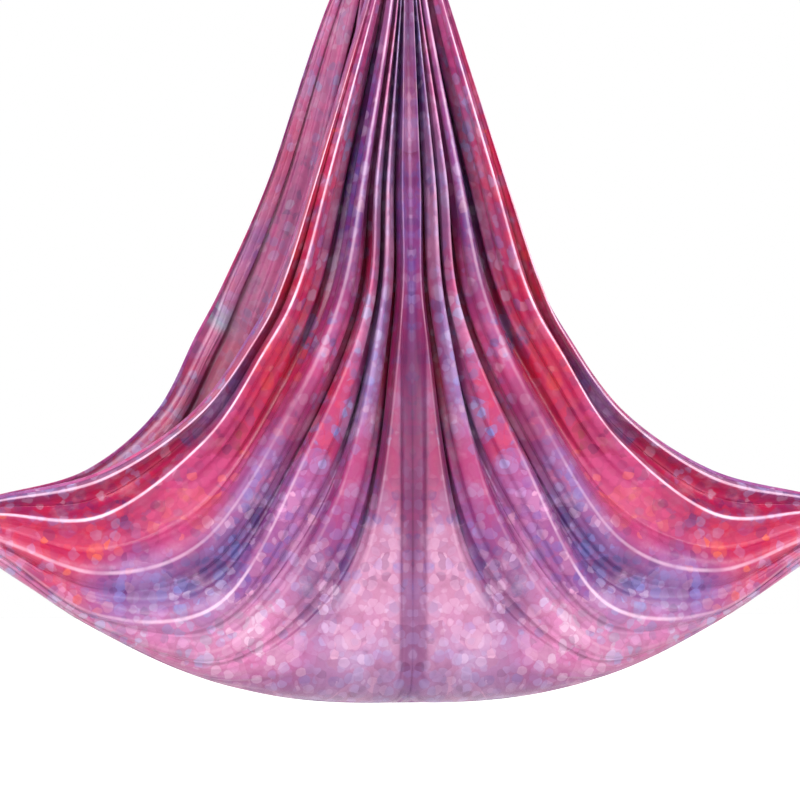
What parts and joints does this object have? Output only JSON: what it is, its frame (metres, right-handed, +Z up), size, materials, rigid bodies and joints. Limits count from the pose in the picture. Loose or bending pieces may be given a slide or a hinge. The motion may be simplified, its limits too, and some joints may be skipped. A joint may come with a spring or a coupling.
{
  "type": "aerial yoga hammock",
  "caption": "Printed tricot sheet hung as a pleated loop with drawn-out side wings, its knotted ends on screw gate carabiners under a ball bearing swivel and an anchor carabiner.",
  "frame": {"origin": "the point that the ceiling's fixing carries, inside the top bow of the anchor carabiner", "axes": "+Z up, +X to the right along the hammock's spread, +Y from the front panel to the rear panel"},
  "size_m": [2.5768, 0.332, 2.595],
  "materials": {
    "silver_alloy": "anodised, satin",
    "dark_alloy": "black anodised, satin",
    "plated_steel": "zinc plated, satin",
    "black_rubber": "matt",
    "printed_tricot": "printed nylon tricot, satin sheen"
  },
  "bodies": {
    "anchor": {"anchor_carabiner_frame": "silver_alloy", "anchor_carabiner_gate_pin": "plated_steel"},
    "anchor_gate": {"anchor_carabiner_gate": "silver_alloy", "anchor_carabiner_spring": "plated_steel"},
    "anchor_plunger": {"anchor_carabiner_plunger": "plated_steel"},
    "anchor_sleeve": {"anchor_carabiner_sleeve": "dark_alloy"},
    "swivel_housing": {"swivel_upper_eye": "plated_steel", "swivel_cover": "plated_steel", "bearing_lower_race": "plated_steel", "bearing_balls": "plated_steel", "swivel_seal": "black_rubber"},
    "swivel_shaft": {"swivel_lower_eye": "plated_steel", "bearing_upper_race": "plated_steel", "shaft_nut": "plated_steel", "nut_pin": "plated_steel"},
    "hammock": {"front_carabiner_frame": "silver_alloy", "front_carabiner_gate_pin": "plated_steel", "rear_carabiner_frame": "silver_alloy", "rear_carabiner_gate_pin": "plated_steel", "front_knot": "printed_tricot", "rear_knot": "printed_tricot", "hammock_cloth": "printed_tricot"},
    "front_gate": {"front_carabiner_gate": "silver_alloy", "front_carabiner_spring": "plated_steel"},
    "front_plunger": {"front_carabiner_plunger": "plated_steel"},
    "front_sleeve": {"front_carabiner_sleeve": "dark_alloy"},
    "rear_gate": {"rear_carabiner_gate": "silver_alloy", "rear_carabiner_spring": "plated_steel"},
    "rear_plunger": {"rear_carabiner_plunger": "plated_steel"},
    "rear_sleeve": {"rear_carabiner_sleeve": "dark_alloy"}
  },
  "joints": [
    {"name": "upper_swing", "type": "hinge", "parent": "anchor", "child": "swivel_housing", "pos_m": [0, 0, -0.095], "axis": [0.9063, 0.4226, 0], "range_deg": [-45, 45]},
    {"name": "swivel_spin", "type": "hinge", "parent": "swivel_housing", "child": "swivel_shaft", "pos_m": [0, 0, -0.14], "axis": [0, 0, 1], "continuous": true},
    {"name": "hammock_swing", "type": "hinge", "parent": "swivel_shaft", "child": "hammock", "pos_m": [0, 0, -0.2009], "axis": [-0.4226, 0.9063, 0], "range_deg": [-45, 45]},
    {"name": "anchor_gate_hinge", "type": "hinge", "parent": "anchor", "child": "anchor_gate", "pos_m": [-0.01483, -0.00692, -0.07679], "axis": [-0.4226, 0.9063, 0], "range_deg": [0, 24], "stiffness_Nm_per_rad": 0.1, "springref_deg": -28.65},
    {"name": "anchor_plunger_slide", "type": "slide", "parent": "anchor_gate", "child": "anchor_plunger", "axis": [-0.1797, -0.0838, 0.9801], "range_m": [0, 0.0006]},
    {"name": "anchor_sleeve_slide", "type": "slide", "parent": "anchor_gate", "child": "anchor_sleeve", "axis": [-0.1797, -0.0838, 0.9801], "range_m": [0, 0.0121]},
    {"name": "front_gate_hinge", "type": "hinge", "parent": "hammock", "child": "front_gate", "pos_m": [0.01935, -0.00278, -0.20665], "axis": [-0.4072, 0.8733, -0.2672], "range_deg": [0, 24], "stiffness_Nm_per_rad": 0.1, "springref_deg": -28.65},
    {"name": "front_plunger_slide", "type": "slide", "parent": "front_gate", "child": "front_plunger", "axis": [0.2904, -0.1536, -0.9445], "range_m": [0, 0.0006]},
    {"name": "front_sleeve_slide", "type": "slide", "parent": "front_gate", "child": "front_sleeve", "axis": [0.2904, -0.1536, -0.9445], "range_m": [0, 0.0121]},
    {"name": "rear_gate_hinge", "type": "hinge", "parent": "hammock", "child": "rear_gate", "pos_m": [0.01031, 0.01661, -0.20665], "axis": [-0.4072, 0.8733, 0.2672], "range_deg": [0, 24], "stiffness_Nm_per_rad": 0.1, "springref_deg": -28.65},
    {"name": "rear_plunger_slide", "type": "slide", "parent": "rear_gate", "child": "rear_plunger", "axis": [0.069, 0.3212, -0.9445], "range_m": [0, 0.0006]},
    {"name": "rear_sleeve_slide", "type": "slide", "parent": "rear_gate", "child": "rear_sleeve", "axis": [0.069, 0.3212, -0.9445], "range_m": [0, 0.0121]}
  ],
  "couplings": [
    {"joint": "anchor_plunger_slide", "follows": "anchor_gate_hinge", "m_per_rad": 0.001432},
    {"joint": "front_plunger_slide", "follows": "front_gate_hinge", "m_per_rad": 0.001432},
    {"joint": "rear_plunger_slide", "follows": "rear_gate_hinge", "m_per_rad": 0.001432}
  ]
}
